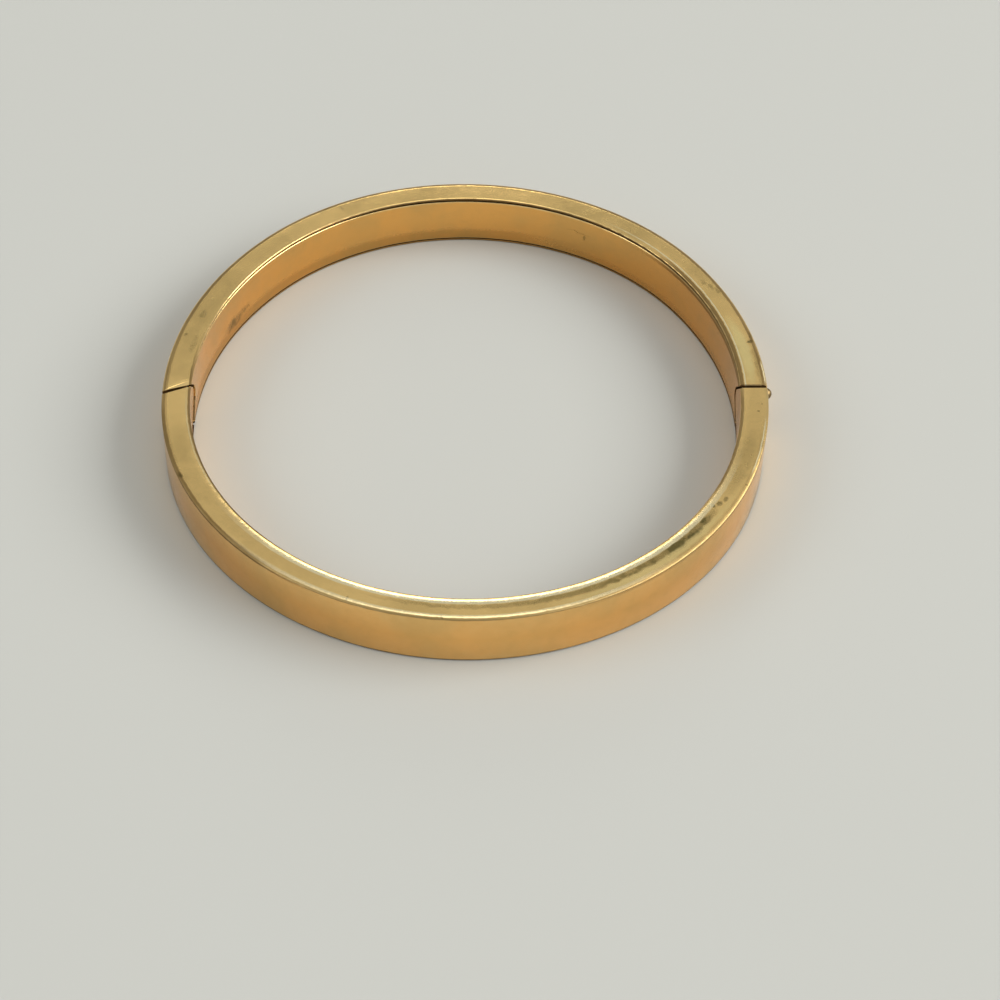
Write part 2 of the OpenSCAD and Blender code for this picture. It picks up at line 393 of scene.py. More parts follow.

# %% [markdown]
# ## The worn gold
# The gold is a thin layer on brass. On the walls it is whole and warm. The flat faces have rubbed on
# tables for years, so they are greener and duller, and the long edges are rubbed bright. Grime and
# tarnish lie in a few places. Other marks are painted light: bright lines and patches where edges and
# faces would catch the light, dark lines where rounded edges would reflect something dark, and painted
# shade at the feet of the walls, in the hollow and in the gaps at the joins. The face's own normal
# tells walls, faces and edges apart, and noise gives the mottling. Each mark is a soft ellipsoid,
# broken up by noise, and each seam, dark line or painted glint an even box, so all of them stay where
# they lie on the metal.

# %% Where the grime, the worn spots and the painted light are
# Each mark: its bearing in degrees, its depth from the outer wall and its height in mm, half its
# size in each of these three, and how strong it is.
TOP = BAND_H
GRIME = [
    (166.0, 0.95, TOP, 0.6, 0.22, 0.5, 0.60),
    (160.0, 1.55, TOP, 1.4, 0.50, 0.5, 0.55),
    (168.0, 2.10, TOP, 3.0, 0.40, 0.5, 0.35),
    (150.0, 1.50, TOP, 26.0, 1.50, 0.6, 0.22),
    (122.0, 0.55, TOP, 4.0, 0.22, 0.5, 0.45),
    (118.3, 1.00, TOP, 0.3, 0.60, 0.5, 0.35),
    (56.0, 1.50, TOP, 18.0, 1.50, 0.6, 0.26),
    (36.0, 1.20, TOP, 10.0, 1.10, 0.5, 0.28),
    (27.4, 1.45, TOP, 1.0, 0.28, 0.5, 0.55),
    (25.8, 1.10, TOP, 1.0, 0.28, 0.5, 0.55),
    (24.3, 0.75, TOP, 1.0, 0.25, 0.5, 0.50),
    (10.2, 0.60, TOP, 0.45, 0.38, 0.6, 0.90),
    (11.5, 0.32, TOP, 1.7, 0.20, 0.5, 0.50),
    (202.5, 0.25, TOP, 1.1, 0.30, 0.5, 0.75),
    (203.5, 0.75, TOP, 1.5, 0.35, 0.5, 0.25),
    (210.0, 1.40, TOP, 22.0, 1.40, 0.6, 0.18),
    (247.3, 0.50, TOP, 0.3, 0.35, 0.5, 0.65),
    (264.8, 0.20, TOP, 0.4, 0.16, 0.5, 0.70),
    (276.0, 1.58, TOP, 26.0, 0.34, 0.5, 0.42),
    (292.0, 1.58, TOP, 22.0, 0.44, 0.5, 0.62),
    (304.0, 1.55, TOP, 16.0, 0.52, 0.5, 0.80),
    (313.5, 1.52, TOP, 13.0, 0.60, 0.5, 0.95),
    (318.8, 1.50, TOP, 6.0, 0.62, 0.5, 1.00),
    (321.6, 1.50, TOP, 2.2, 0.44, 0.5, 0.95),
    (325.6, 2.00, TOP, 0.55, 0.50, 0.5, 0.90),
    (327.0, 1.60, TOP, 0.80, 0.32, 0.5, 0.85),
    (328.5, 1.30, TOP, 0.90, 0.27, 0.5, 0.70),
    (339.0, 1.50, TOP, 11.0, 1.10, 0.5, 0.34),
    (351.0, 1.45, TOP, 9.0, 1.30, 0.5, 0.20),
    (334.0, 0.20, TOP, 0.4, 0.20, 0.5, 0.60),
    (352.6, 1.02, TOP, 0.26, 0.14, 0.5, 0.90),
    (354.4, 0.68, TOP, 0.24, 0.12, 0.5, 0.70),
    (4.0, 0.55, TOP, 6.0, 0.38, 0.5, 0.35),
    (153.0, BAND_T, 1.95, 3.6, 0.40, 0.75, 0.70),
    (149.5, BAND_T, 2.20, 2.4, 0.40, 0.50, 0.45),
    (60.5, BAND_T, 3.30, 0.5, 0.40, 0.40, 0.45),
    (62.0, BAND_T, 3.80, 3.5, 0.40, 0.10, 0.30),
]
# Worn-through spots where the gold is rubbed thin, and painted sheen where a face or edge would catch
# the light.
BARE_AND_SHEEN = [
    (179.0, 2.55, TOP, 0.6, 0.35, 0.4, 0.80),
    (318.2, 0.05, TOP, 0.4, 0.16, 0.4, 0.90),
    (311.8, 0.10, TOP, 0.5, 0.12, 0.4, 0.60),
    (308.0, 0.82, TOP, 24.0, 0.50, 0.4, 0.45),
    (8.0, 1.60, TOP, 10.0, 0.80, 0.4, 0.75),
]
# The same numbers for the long, even marks. The dark ones below are the soldered seam under the strips'
# top edges, with painted shade in its groove, and painted shade elsewhere: dark lines along the rounded
# edges where they reflect something dark, and shade at the feet of the walls.
SEAMS_AND_SHADE = [
    (80.0, 0.36, TOP, 120.0, 0.22, 0.5, 0.75),
    (15.0, 2.64, TOP, 28.0, 0.25, 0.4, 0.82),
    (55.0, BAND_T, 5.90, 84.0, 0.25, 0.14, 0.85),
    (12.0, BAND_T, 5.55, 32.0, 0.25, 0.50, 0.70),
    (66.0, BAND_T, 0.10, 130.0, 0.30, 0.30, 0.60),
    (125.0, BAND_T, 0.40, 60.0, 0.40, 1.40, 0.27),
    (20.0, BAND_T, 0.40, 60.0, 0.40, 0.90, 0.14),
    (200.0, 2.80, TOP, 36.0, 0.16, 0.5, 0.85),
    (344.0, 2.70, TOP, 18.0, 0.18, 0.4, 0.70),
    (192.0, 0.27, TOP, 27.0, 0.14, 0.4, 0.70),
    (207.0, 0.06, 6.00, 32.0, 0.35, 0.35, 0.80),
    (275.0, 0.00, 5.96, 75.0, 0.25, 0.12, 0.60),
    (275.0, 0.00, 0.10, 110.0, 0.25, 0.20, 0.60),
    (321.0, 0.20, 6.00, 30.0, 0.34, 0.45, 0.34),
]
# Painted highlights: bright lines along the edges where they would catch the light.
PAINTED_GLINTS = [
    (20.0, 2.28, TOP, 34.0, 0.08, 0.4, 0.85),
    (196.0, 2.54, TOP, 15.0, 0.05, 0.4, 0.55),
    (344.0, 0.30, TOP, 7.0, 0.07, 0.4, 0.85),
    (2.3, 0.20, TOP, 2.6, 0.08, 0.4, 0.80),
    (277.0, 2.20, TOP, 60.0, 0.32, 0.4, 0.85),
    (266.0, 0.38, TOP, 42.0, 0.20, 0.4, 0.55),
]
# A mark fades from nothing at the first of these shares of its size to its full strength at the
# second.
SOFT_FADE = (1.15, 0.45)
EVEN_FADE = (1.15, 0.60)


def soft_mark(wiring, vector, centre, size, even):
    """1 at the middle of an ellipsoid or of a box, 0 outside it."""
    inputs = {"Vector": vector, "Location": centre, "Scale": size}
    away = wiring.node("ShaderNodeMapping", inputs, vector_type="TEXTURE").outputs["Vector"]
    if not even:
        return wiring.ramp(wiring.vector("LENGTH", away, output="Value"), *SOFT_FADE)
    split = wiring.node("ShaderNodeSeparateXYZ", {"Vector": wiring.vector("ABSOLUTE", away)})
    most = wiring.math("MAXIMUM", split.outputs["X"], split.outputs["Y"])
    return wiring.ramp(wiring.math("MAXIMUM", most, split.outputs["Z"]), *EVEN_FADE)


def marks(wiring, place, table, even=False):
    """The strongest of a table's marks at each point: soft ellipsoids, or even boxes."""
    strongest = None
    for *centre, along, across, up, strength in table:
        spot = soft_mark(wiring, place, centre, (along, across, up), even)
        spot = wiring.math("MULTIPLY", spot, strength)
        strongest = spot if strongest is None else wiring.math("MAXIMUM", strongest, spot)
    return strongest


print("grime", len(GRIME), "bare", len(BARE_AND_SHEEN), "seams", len(SEAMS_AND_SHADE), "burrs", len(PAINTED_GLINTS))

# %% Colours of the wear and of the painted light and shade
DULLED = (0.62, 0.42, 0.15, 1)
FLECKED = (0.50, 0.36, 0.13, 1)
GRIMY = (0.12, 0.095, 0.03, 1)
# The colour of worn-through gold and of painted sheen.
BARE_AND_SHEEN_COLOUR = (0.99, 0.78, 0.33, 1)
# The colour of the seam groove and of the painted shade and dark lines.
SEAM_AND_SHADE_DARK = (0.10, 0.06, 0.02, 1)
# The colour of the painted glints along the edges.
GLINT_PAINT = (1.0, 0.86, 0.53, 1)
# Painted shade for the faces in the hollow, in the seam and on the cut edges, so the gaps look dark.
PAINTED_HOLLOW_SHADE = (0.07, 0.035, 0.012, 1)
# How far noise moves the edges of the soft marks and of the even ones, in degrees, mm and mm.
RAGGED = (1.4, 0.7, 0.7)
NEARLY_EVEN = (0.6, 0.16, 0.16)
# Scales of the noises: broad clouds, mottling, fine grain, and the ragged edges of the marks.
CLOUDS = 130
MOTTLES = 900
GRAINS = 5200
RAGS = 1100
BUMP_HEIGHT = 0.00004


def add_marks(wiring, here, place, mottle, colour, roughness):
    """The named marks with their painted highlights and shade, and the painted shade of the faces in the
    hollow, over a colour and a roughness.
    """
    shift = wiring.noise(here, RAGS, detail=4, rough=0.5, output="Color")
    shift = wiring.vector("SUBTRACT", shift, (0.5, 0.5, 0.5))
    ragged = wiring.vector("ADD", place, wiring.vector("MULTIPLY", shift, RAGGED))
    nearly_even = wiring.vector("ADD", place, wiring.vector("MULTIPLY", shift, NEARLY_EVEN))
    grime = marks(wiring, ragged, GRIME)
    grime = wiring.math("MULTIPLY", grime, wiring.ramp(mottle, 0.36, 0.56, 0.60, 1.0))
    colour = wiring.blend(grime, colour, GRIMY)
    roughness = wiring.math("ADD", roughness, wiring.math("MULTIPLY", grime, 0.2))
    # Worn-through spots and painted sheen.
    colour = wiring.blend(marks(wiring, ragged, BARE_AND_SHEEN), colour, BARE_AND_SHEEN_COLOUR)
    # Painted shade and dark lines from the table, and the seam groove.
    seams = marks(wiring, nearly_even, SEAMS_AND_SHADE, True)
    colour = wiring.blend(seams, colour, SEAM_AND_SHADE_DARK)
    roughness = wiring.math("ADD", roughness, wiring.math("MULTIPLY", seams, 0.5))
    # Painted highlights along the edges.
    colour = wiring.blend(marks(wiring, nearly_even, PAINTED_GLINTS, True), colour, GLINT_PAINT)
    # The faces in the hollow, in the seam and on the cut edges get painted shade.
    inside = wiring.attribute("inside", "Fac")
    colour = wiring.blend(inside, colour, PAINTED_HOLLOW_SHADE)
    roughness = wiring.math("ADD", roughness, wiring.math("MULTIPLY", inside, 0.4))
    return colour, roughness


def streaks(wiring, place):
    """Fine lines along the band, as a height."""
    inputs = {"Vector": place, "Scale": (0.35, 9.0, 9.0)}
    stretched = wiring.node("ShaderNodeMapping", inputs)
    return wiring.math("MULTIPLY", wiring.noise(stretched.outputs["Vector"], 1.0, detail=2), 0.10)


# The darkest colour is painted shade and the palest a painted glint.
print("darkest wear:", PAINTED_HOLLOW_SHADE[:3], "palest wear:", GLINT_PAINT[:3])

# %% The gold's material


def gold(name, wall, face, rubbed, rough, with_marks=True):
    """Worn gold: its colour on the walls, on the flat faces and on the rubbed edges."""
    material, shader = new_material(name)
    wiring = Wiring(material.node_tree)
    here = wiring.node("ShaderNodeTexCoord").outputs["Object"]
    normal = wiring.node("ShaderNodeNewGeometry").outputs["Normal"]
    split = wiring.node("ShaderNodeSeparateXYZ", {"Vector": normal})
    upright = wiring.math("ABSOLUTE", split.outputs["Z"])
    flat = wiring.ramp(upright, 0.45, 0.97)
    edge = wiring.math("MULTIPLY", upright, wiring.math("SUBTRACT", 1.0, upright))
    edge = wiring.math("MULTIPLY", edge, 4.0, clamp=True)

    cloud = wiring.noise(here, CLOUDS, detail=4)
    mottle = wiring.noise(here, MOTTLES, detail=5, rough=0.65)
    grain = wiring.noise(here, GRAINS, detail=2)

    colour = wiring.blend(flat, (*wall, 1), (*face, 1))
    dull = wiring.math("MULTIPLY", wiring.ramp(cloud, 0.40, 0.64), 0.42)
    colour = wiring.blend(dull, colour, DULLED)
    fleck = wiring.math("MULTIPLY", wiring.ramp(mottle, 0.45, 0.75), 0.12)
    colour = wiring.blend(fleck, colour, FLECKED)
    shine = wiring.math("MULTIPLY", edge, wiring.ramp(mottle, 0.25, 0.6, 0.9, 0.5))
    colour = wiring.blend(shine, colour, (*rubbed, 1))
    roughness = wiring.ramp(mottle, 0.3, 0.7, rough - 0.03, rough + 0.06)
    roughness = wiring.math("SUBTRACT", roughness, wiring.math("MULTIPLY", edge, 0.04))
    relief = wiring.math("MULTIPLY", grain, 0.35)
    relief = wiring.math("ADD", relief, wiring.math("MULTIPLY", mottle, 0.7))
    relief = wiring.math("ADD", relief, wiring.math("MULTIPLY", cloud, 6.0))
    if with_marks:
        place = wiring.attribute("band_place", "Vector")
        colour, roughness = add_marks(wiring, here, place, mottle, colour, roughness)
        relief = wiring.math("ADD", relief, streaks(wiring, place))

    bump = wiring.node("ShaderNodeBump", {"Height": relief, "Strength": 0.5, "Distance": BUMP_HEIGHT})
    wiring.put(shader.inputs["Base Color"], colour)
    wiring.put(shader.inputs["Roughness"], roughness)
    wiring.put(shader.inputs["Normal"], bump.outputs["Normal"])
    shader.inputs["Metallic"].default_value = 1.0
    return material


FACE = (0.95, 0.635, 0.235)
RUBBED = (0.98, 0.77, 0.38)
shell_gold = gold("shell_gold", (0.93, 0.515, 0.165), FACE, RUBBED, 0.17)
strip_gold = gold("strip_gold", (0.93, 0.49, 0.135), FACE, RUBBED, 0.20)
drawn_brass = gold("drawn_brass", (0.62, 0.47, 0.20), (0.60, 0.46, 0.20), (0.80, 0.66, 0.36),
                   0.36, with_marks=False)
tarnished_gold = gold("tarnished_gold", (0.17, 0.11, 0.045), (0.18, 0.12, 0.05), (0.30, 0.21, 0.10),
                      0.40, with_marks=False)
print("materials:", [m.name for m in (shell_gold, strip_gold, drawn_brass, tarnished_gold)])

# %% [markdown]
# ## Sweeping the band
# A folded channel has the same cross-section all the way round, so it is a sweep: a rectangle with
# rolled corners that follows the outline. A corner is rolled flat on the face and short on the
# wall, so the tree rounds a narrow rectangle and then stretches it. Modelled by hand, each change of
# a size would mean moving thousands of points. A Geometry Nodes tree keeps the sizes as named
# inputs, and it makes the outside, the hollow and the seat of the inner strip.

# %% The tree that sweeps a rounded rectangle along a path


def swept_band_tree():
    """A node tree that turns a path into a band of rectangular section."""
    tree = bpy.data.node_groups.new("Swept band", "GeometryNodeTree")
    tree.interface.new_socket("Geometry", in_out="INPUT", socket_type="NodeSocketGeometry")
    for name in ("Width", "Thickness", "Depth", "Outer edge drop", "Inner edge drop", "Edge stretch"):
        tree.interface.new_socket(name, in_out="INPUT", socket_type="NodeSocketFloat")
    tree.interface.new_socket("Steps in an edge", in_out="INPUT", socket_type="NodeSocketInt")
    tree.interface.new_socket("Metal", in_out="INPUT", socket_type="NodeSocketMaterial")
    tree.interface.new_socket("Geometry", in_out="OUTPUT", socket_type="NodeSocketGeometry")
    wiring = Wiring(tree)
    given = wiring.node("NodeGroupInput").outputs

    narrow = wiring.math("DIVIDE", given["Thickness"], given["Edge stretch"])
    section = wiring.node("GeometryNodeCurvePrimitiveQuadrilateral",
                          {"Width": narrow, "Height": given["Width"]}).outputs[0]
    position = wiring.node("GeometryNodeInputPosition").outputs[0]
    where = wiring.node("ShaderNodeSeparateXYZ", {0: position}).outputs["X"]
    outside = wiring.node("FunctionNodeCompare", {"A": where}).outputs[0]
    drops = {"Switch": outside, "False": given["Inner edge drop"], "True": given["Outer edge drop"]}
    radius = wiring.node("GeometryNodeSwitch", drops, input_type="FLOAT").outputs[0]
    fillet = wiring.node("GeometryNodeFilletCurve", {
        "Curve": section, "Radius": radius, "Count": given["Steps in an edge"]}, mode="POLY").outputs[0]

    half = wiring.node("ShaderNodeMath", {0: given["Thickness"], 1: 0.5, 2: given["Depth"]},
                       operation="MULTIPLY_ADD").outputs[0]
    inward = wiring.node("ShaderNodeCombineXYZ", {"X": wiring.math("MULTIPLY", half, -1)}).outputs[0]
    widen = wiring.node("ShaderNodeCombineXYZ", {"X": given["Edge stretch"], "Y": 1, "Z": 1}).outputs[0]
    placed = wiring.node("GeometryNodeTransform", {
        "Geometry": fillet, "Translation": inward, "Scale": widen}).outputs[0]

    path = {"Curve": given["Geometry"]}
    level = wiring.node("GeometryNodeSetCurveNormal", path, mode="Z_UP").outputs[0]
    sweep = wiring.node("GeometryNodeCurveToMesh", {
        "Curve": level, "Profile Curve": placed, "Fill Caps": True}).outputs[0]
    real = wiring.node("GeometryNodeRealizeInstances", {"Geometry": sweep}).outputs[0]
    metal = wiring.node("GeometryNodeSetMaterial", {"Geometry": real, "Material": given["Metal"]})
    wiring.node("NodeGroupOutput", {"Geometry": metal.outputs[0]})
    return tree


band_tree = swept_band_tree()
print("inputs:", [item.name for item in band_tree.interface.items_tree if item.in_out == "INPUT"])

# %% Sweeping, and turning a piece into a plain mesh


def plain(piece):
    """The same piece with its modifiers worked into one plain mesh, under the same name."""
    depsgraph = bpy.context.evaluated_depsgraph_get()
    mesh = bpy.data.meshes.new_from_object(piece.evaluated_get(depsgraph), depsgraph=depsgraph)
    name = piece.name
    bpy.data.objects.remove(piece)
    return new_object(name, mesh)


RING_STEP = math.radians(0.75)


def swept(name, first, last, sizes):
    """The band between two bearings, with these sizes for the tree's inputs, in mm."""
    count = math.ceil((last - first) / RING_STEP)
    curve = bpy.data.curves.new(name, "CURVE")
    curve.dimensions = "3D"
    spline = curve.splines.new("POLY")
    spline.points.add(count)
    for index, point in enumerate(spline.points):
        place = on_hoop(first + (last - first) * index / count)
        point.co = (place.x, place.y, BAND_H / 2, 1)
    path = new_object(name, curve)
    modifier = path.modifiers.new("sweep", "NODES")
    modifier.node_group = band_tree
    for item in band_tree.interface.items_tree:
        if item.in_out == "INPUT" and item.name in sizes:
            modifier[item.identifier] = sizes[item.name]
    return plain(path)


print("bearings of a sweep", math.degrees(RING_STEP), "degrees apart")

# %% Sizes of the channels, the hollow and the strips' seats
STRIP_T = 0.45
LIP = {1: 0.28, -1: 0.44}
HOLLOW_OVERLAP = 0.02


def band_sizes(width, thickness, depth=0.0, outer_drop=0.0, inner_drop=0.0, stretch=1.0, steps=1):
    """Values for the tree's inputs, in mm."""
    return {
        "Width": width, "Thickness": thickness, "Depth": depth, "Outer edge drop": outer_drop,
        "Inner edge drop": inner_drop, "Edge stretch": stretch, "Steps in an edge": steps,
        "Metal": shell_gold,
    }


channel_sizes = {
    1: band_sizes(BAND_H, BAND_T, outer_drop=0.30, inner_drop=0.12, stretch=2.6, steps=14),
    -1: band_sizes(BAND_H, BAND_T, outer_drop=0.22, inner_drop=0.34, stretch=3.0, steps=14),
}
hollow_sizes = band_sizes(
    BAND_H - 2 * WALL, BAND_T - WALL - STRIP_T + HOLLOW_OVERLAP, WALL, outer_drop=0.15, steps=3)
seat_sizes = {half: band_sizes(BAND_H - 2 * LIP[half], 3 * STRIP_T, BAND_T - STRIP_T) for half in LIP}
print("lips", LIP, "on a band", BAND_H, "wide and", BAND_T, "thick")

# %% [markdown]
# ## Cutting the ends
# On the bench the channel is sawn at the joins and the cut edges are broken with a file. Here a
# block with sloped flanks, laid along each join, takes off what is past the join and a narrow strip
# of its top and bottom edges. A second block takes the outer corner. What is filed away this way is
# real geometry, so the chamfers glint as they do on the metal.

# %% Blocks, and combining pieces with them
FAR = 40.0
PAST = 5.0
CUT = 2.0
CHAMFER = 0.10


def piece_from(shape, name, metal):
    """A piece in this metal from a mesh in the making, which is used up."""
    bmesh.ops.recalc_face_normals(shape, faces=shape.faces)
    mesh = bpy.data.meshes.new(name)
    shape.to_mesh(mesh)
    shape.free()
    mesh.materials.append(metal)
    return new_object(name, mesh)


def block(name, outline, low, high, place=Matrix()):
    """A block with this plan between two heights, put in its place. Sizes in mm."""
    shape = bmesh.new()
    base = [shape.verts.new((x, y, low)) for x, y in outline]
    top = [shape.verts.new((x, y, high)) for x, y in outline]
    shape.faces.new(base)
    shape.faces.new(top)
    for index in range(len(base)):
        after = (index + 1) % len(base)
        shape.faces.new((base[index], base[after], top[after], top[index]))
    shape.transform(place)
    return piece_from(shape, name, shell_gold)


def combine(piece, tool, operation):
    """INTERSECT, DIFFERENCE or UNION of a piece and a tool. The tool is used up."""
    modifier = piece.modifiers.new("combine", "BOOLEAN")
    modifier.operation = operation
    modifier.solver = "MANIFOLD"
    modifier.object = tool
    made = plain(piece)
    bpy.data.objects.remove(tool)
    return made


def without(piece, tool):
    """A piece less what a tool takes off. The tool is used up."""
    return combine(piece, tool, "DIFFERENCE")


def circle_points(centre, radius, first=0.0, last=math.tau, count=48):
    """Points on a circle or on part of one."""
    turns = [first + (last - first) * index / count for index in range(count + (last < math.tau))]
    return [(centre.x + radius * math.cos(turn), centre.y + radius * math.sin(turn)) for turn in turns]


def cylinder(centre, radius, low, high, count=48):
    """A round block."""
    return block("round", circle_points(centre, radius, count=count), low, high)


print("blocks reach", CUT, "mm past what they cut")

# %% Cuts at the joins
slant = Vector((math.cos(HINGE_SLANT), math.sin(HINGE_SLANT)))
slant_normal = Vector((-slant.y, slant.x))


def join_frame(side, half, away):
    """A place at a join: x into the half, y up, z along the join, inward or outward."""
    normal = slant_normal if side == "hinge" else Vector((0, 1))
    point = hinge_join if side == "hinge" else clasp_join
    gap = HINGE_GAP if side == "hinge" else CLASP_GAP
    origin = point + half * normal * (gap / 2 + away)
    inward = half * normal.to_3d()
    along = inward.cross(Vector((0, 0, 1)))
    return axes_at(inward, (0, 0, 1), along, origin.to_3d())


def saw_cut(side, half, away, chamfer):
    """What is past a join, with a strip of the half's top and bottom edges."""
    outline = [(-PAST, -CUT), (chamfer + CUT, -CUT), (0, chamfer), (0, BAND_H - chamfer),
               (chamfer + CUT, BAND_H + CUT), (-PAST, BAND_H + CUT)]
    return block("saw cut", outline, -BAND_T, BAND_T, join_frame(side, half, away))


def corner_cut(side, half):
    """What a file takes off a half's outer corner at a join."""
    centre, radius = side_arcs[side]
    outward = -1 if side == "hinge" else 1
    y = join_y(side, half, 0)
    corner = Vector((centre.x + outward * math.sqrt(radius ** 2 - (y - centre.y) ** 2), y))
    along_join = slant if side == "hinge" else Vector((-1, 0))
    start = corner + along_join * CHAMFER
    stop = corner + Vector((0, half)) * CHAMFER
    reach = (stop - start).normalized() * CUT
    off = Vector((outward, -half)) * CUT
    outline = [start - reach, stop + reach, stop + reach + off, start - reach + off]
    return block("corner cut", outline, -CUT, BAND_H + CUT)


def nose_cut():
    """What is cut off the front half's end, down to the hinge line and round the pin's centre."""
    line = hinge_join - slant_normal * HINGE_GAP / 2
    first = math.pi / 2 + HINGE_SLANT
    nose = circle_points(hinge_axis, KNUCKLE_R, first, math.pi, 24)
    outline = [
        line + slant * BAND_T, *nose, (-FAR, hinge_axis.y),
        (-FAR, hinge_axis.y + PAST), line + slant * BAND_T + slant_normal * PAST,
    ]
    return block("nose cut", outline, -CUT, BAND_H + CUT)


print("chamfers", CHAMFER, "wide")

# %% [markdown]
# ## The two channels
# Each half is the swept channel, cut at its ends, less its hollow. The end plates are what is left
# between the join and the hollow. The hinge's knuckles are cylinders about the pin: the middle third
# belongs to the back half, and the front half has a pocket there that its arm swings in.

# %% Bodies of the two halves
OVERSHOOT = math.radians(4)
KNUCKLE_Z = BAND_H / 3
OPEN_ANGLE = math.radians(joints["hinge_swing"]["range_deg"][1])
spans = {
    1: (-OVERSHOOT, math.pi + OVERSHOOT),
    -1: (math.pi - OVERSHOOT, math.tau + OVERSHOOT),
}


def channel(half):
    """One half's channel with its end plates, without its hinge and clasp details."""
    outside = swept("channel", *spans[half], channel_sizes[half])
    hollow = swept("hollow", *spans[half], hollow_sizes)
    seat = swept("seat", spans[half][0] - OVERSHOOT, spans[half][1] + OVERSHOOT, seat_sizes[half])
    for side in ("hinge", "clasp"):
        outside = without(outside, saw_cut(side, half, 0, CHAMFER))
        hollow = without(hollow, saw_cut(side, half, WALL, 0))
    outside = without(outside, corner_cut("clasp", half))
    if half == 1:
        outside = without(outside, corner_cut("hinge", half))
    else:
        outside = without(outside, nose_cut())
        hollow = without(hollow, cylinder(hinge_axis, KNUCKLE_R, -CUT, BAND_H + CUT))
    outside = without(outside, hollow)
    return without(outside, seat)


back_shell = channel(1)
front_shell = channel(-1)
for piece in (back_shell, front_shell):
    print(piece.name, len(piece.data.polygons), "faces")

# %% The hinge's knuckles and pocket
tongue_mid = (fold_centre - hinge_axis).length
knuckle_low = KNUCKLE_Z + KNUCKLE_PLAY / 2
knuckle_high = 2 * KNUCKLE_Z - KNUCKLE_PLAY / 2
ARM_SHARE = 0.88
HINGE_REACH = math.radians(8)
BORE_END = WALL - 0.05


def middle_knuckle():
    """The back half's knuckle and its arm, flush with the band's outer wall."""
    knuckle = cylinder(hinge_axis, KNUCKLE_R, knuckle_low, knuckle_high, 64)
    arm_y = hinge_axis.y + KNUCKLE_R + HINGE_GAP + 2 * WALL
    plan = box_outline(hinge_axis.x - CUT, hinge_axis.y, hinge_axis.x + KNUCKLE_R * ARM_SHARE, arm_y)
    knuckle = combine(knuckle, block("arm", plan, knuckle_low, knuckle_high), "UNION")
    flush = swept("flush", math.pi - HINGE_REACH, math.pi + HINGE_REACH, channel_sizes[1])
    return combine(knuckle, flush, "INTERSECT")


def knuckle_pocket():
    """The room in the front half that the knuckle and its arm need over the whole swing."""
    room = KNUCKLE_R + KNUCKLE_PLAY
    lip = KNUCKLE_R * math.tan(OPEN_ANGLE / 2) + KNUCKLE_PLAY
    plan = [(-CUT, -lip), (0, -lip), (0, -KNUCKLE_PLAY), (room, -KNUCKLE_PLAY), (room, CUT), (-CUT, CUT)]
    plan = [(hinge_axis.x + x, hinge_axis.y + y) for x, y in plan]
    low, high = KNUCKLE_Z - KNUCKLE_PLAY / 2, 2 * KNUCKLE_Z + KNUCKLE_PLAY / 2
    return combine(block("pocket", plan, low, high), cylinder(hinge_axis, room, low, high, 64), "UNION")


def pin_bore():
    """The bore for the pin, closed at both ends."""
    return cylinder(hinge_axis, PIN_R + PIN_PLAY, BORE_END, BAND_H - BORE_END)


back_shell = combine(back_shell, middle_knuckle(), "UNION")
back_shell = without(back_shell, pin_bore())
front_shell = without(front_shell, knuckle_pocket())
front_shell = without(front_shell, pin_bore())
print("hinge cut:", len(back_shell.data.polygons), len(front_shell.data.polygons))

# %% [markdown]
# ### The filed corner at the hinge
# In the photograph the back half's top edge is filed down to a slant facet at the hinge. It is
# narrow at the outer wall and wide at the inner one. A second, flatter stroke of the file broke its
# upper edge, which catches the light. A large block, laid in a stroke's plane, takes off its share.

# %% File the facet at the hinge, above and below
# Each stroke: how far it reaches from the join at the outer wall and at the inner one, and how
# deep it goes at the join.
STROKES = [
    (0.08, 0.64, 0.231),
    (0.05, 0.59, 0.275),
]


def facet_block(upper, reach_outer, reach_inner, drop):
    """What one stroke takes off the back half's end, at the top or at the bottom edge."""
    end = hinge_join + slant_normal * HINGE_GAP / 2
    half_slant = BAND_T / 2 / slant.x
    outer = end - slant * half_slant + slant_normal * reach_outer
    inner = end + slant * half_slant + slant_normal * reach_inner
    dropped = end + slant * half_slant
    across = Vector((inner.x - outer.x, inner.y - outer.y, 0)).normalized()
    down = Vector((dropped.x - inner.x, dropped.y - inner.y, -drop))
    down = (down - across * down.dot(across)).normalized()
    out = across.cross(down)
    out = out if out.z > 0 else -out
    place = axes_at(across, down, out, (outer.x, outer.y, BAND_H))
    if not upper:
        place = Matrix.Translation((0, 0, BAND_H)) @ Matrix.Diagonal((1, 1, -1, 1)) @ place
    return block("facet", box_outline(-CUT, -CUT, 3 * CUT, 2 * CUT), 0, CUT, place)


for upper in (True, False):
    for stroke in STROKES:
        back_shell = without(back_shell, facet_block(upper, *stroke))
print("facets filed:", len(back_shell.data.polygons), "faces")

# %% The clasp's mouth, the thumb piece's slot and the strip's hole
MIDDLE_Z = BAND_H / 2
TONGUE_W = 3.6
TONGUE_T = 0.4
FOLD_R = 0.8
MOUTH_PLAY = 0.3
SLOT_PLAY = 0.1
STRIP_PLAY = 0.05
KNOB_BACK = 2.05
KNOB_R = 0.65
knob_place = Vector((hinge_axis.x + tongue_mid, clasp_join.y + KNOB_BACK))


def clasp_room(name, low_x, width, high_y, half_height):
    """A block from before the clasp's join to high_y, about the band's middle height."""
    plan = box_outline(low_x, clasp_join.y - CUT, low_x + width, high_y)
    return block(name, plan, MIDDLE_Z - half_height, MIDDLE_Z + half_height)


